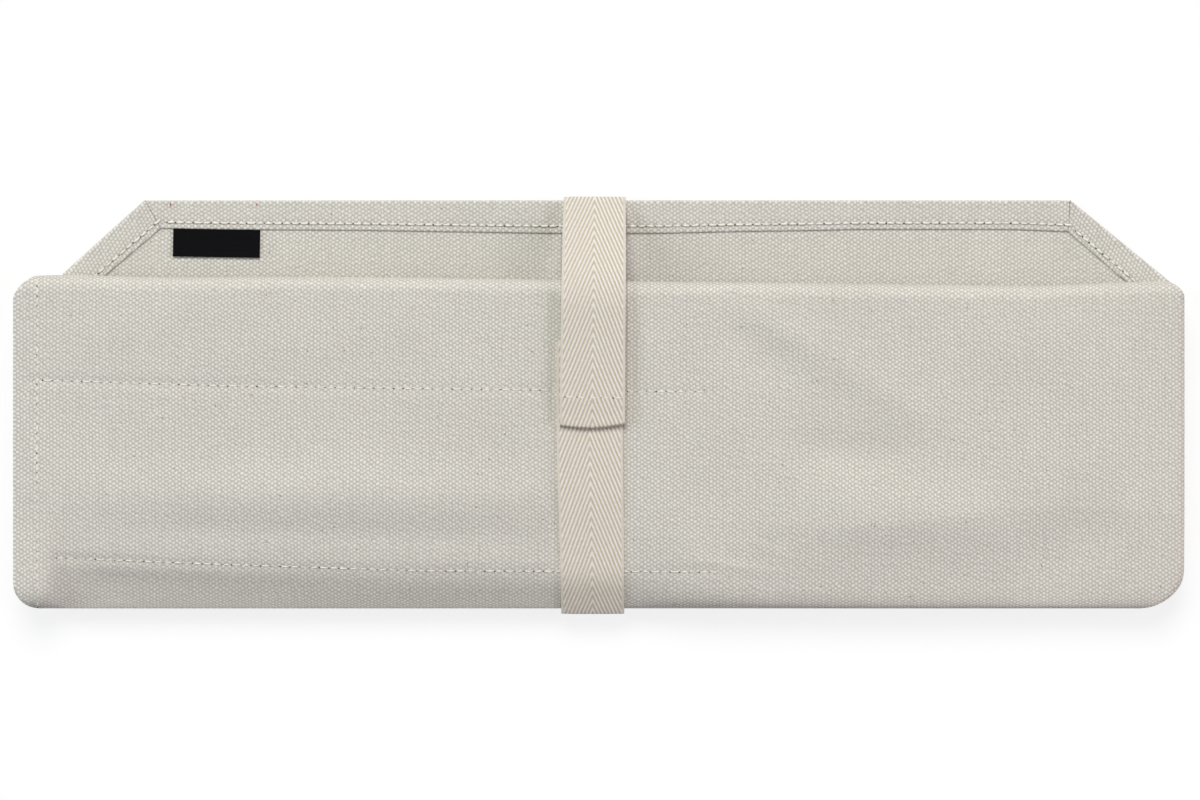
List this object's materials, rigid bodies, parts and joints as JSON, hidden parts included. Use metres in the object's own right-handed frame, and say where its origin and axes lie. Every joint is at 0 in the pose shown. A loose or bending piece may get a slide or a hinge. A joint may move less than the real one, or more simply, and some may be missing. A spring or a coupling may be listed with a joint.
{
  "type": "knife roll",
  "caption": "Folded canvas knife roll with sewn pockets, folded-in handle flaps, a hemmed end flap and a tape strap that peels, lifts and lets it unroll.",
  "frame": {"origin": "middle of the closed roll's box, on the surface that its back lies on", "axes": "+X along the roll, from the closed pocket ends to the folded handle side; +Y towards the end flap; +Z out of the front"},
  "size_m": [0.4688, 0.1676, 0.0242],
  "materials": {
    "canvas": "undyed cotton duck, plain weave",
    "tape": "cream cotton herringbone tape",
    "patch": "napped hook and loop patch",
    "label": "black woven label, blank"
  },
  "bodies": {
    "back": {"back_canvas": "canvas", "flap_hem_top": "canvas", "flap_hem_left": "canvas", "flap_hem_right": "canvas", "back_side_hem": "canvas", "back_pocket": "canvas", "back_handle_flap": "canvas", "strap_back": "tape", "strap_top_bend": "tape"},
    "edge": {"bottom_fold": "canvas", "strap_bottom_bend": "tape"},
    "front": {"front_canvas": "canvas", "front_side_hem": "canvas", "front_pocket": "canvas", "front_handle_flap": "canvas", "strap_front": "tape", "loop_patch": "patch", "top_fold": "canvas"},
    "inner": {"inner_canvas": "canvas", "inner_side_hem": "canvas", "inner_end_hem": "canvas", "inner_pocket": "canvas", "inner_handle_flap": "canvas"},
    "strap_riser": {"strap_rise": "tape"},
    "strap_runner": {"strap_run": "tape"},
    "strap_tip": {"strap_end": "tape", "hook_patch": "patch"},
    "label": {"blank_label": "label"}
  },
  "joints": [
    {"name": "unroll", "type": "hinge", "parent": "back", "child": "edge", "pos_m": [0, -0.07914, 0.00351], "axis": [1, 0, 0], "range_deg": [0, 90], "deforming": ["bottom_fold", "strap_bottom_bend", "top_fold", "strap_top_bend", "strap_rise", "strap_run", "strap_end", "hook_patch"]},
    {"name": "front_turn", "type": "hinge", "parent": "edge", "child": "front", "pos_m": [0, -0.07914, 0.01859], "axis": [1, 0, 0], "range_deg": [0, 90]},
    {"name": "inner_unfold", "type": "hinge", "parent": "front", "child": "inner", "pos_m": [0, 0.04982, 0.0138], "axis": [1, 0, 0], "range_deg": [0, 180]},
    {"name": "strap_lift", "type": "hinge", "parent": "back", "child": "strap_riser", "pos_m": [0, 0.08389, 0.00157], "axis": [-1, 0, 0], "range_deg": [0, 151]},
    {"name": "strap_straighten", "type": "hinge", "parent": "strap_riser", "child": "strap_runner", "pos_m": [0, 0.04617, 0.02369], "axis": [-1, 0, 0], "range_deg": [0, 29]},
    {"name": "strap_peel", "type": "hinge", "parent": "strap_runner", "child": "strap_tip", "pos_m": [0, 0.02595, 0.0242], "axis": [1, 0, 0], "range_deg": [-120, 0]},
    {"name": "label_lift", "type": "hinge", "parent": "back", "child": "label", "pos_m": [0, 0.07055, 0.00135], "axis": [-1, 0, 0], "range_deg": [0, 100]}
  ],
  "couplings": [
    {"joint": "front_turn", "follows": "unroll", "ratio": 1},
    {"joint": "inner_unfold", "follows": "unroll", "ratio": 2},
    {"joint": "strap_lift", "follows": "unroll", "ratio": 1.6777},
    {"joint": "strap_straighten", "follows": "unroll", "ratio": 0.3222}
  ]
}
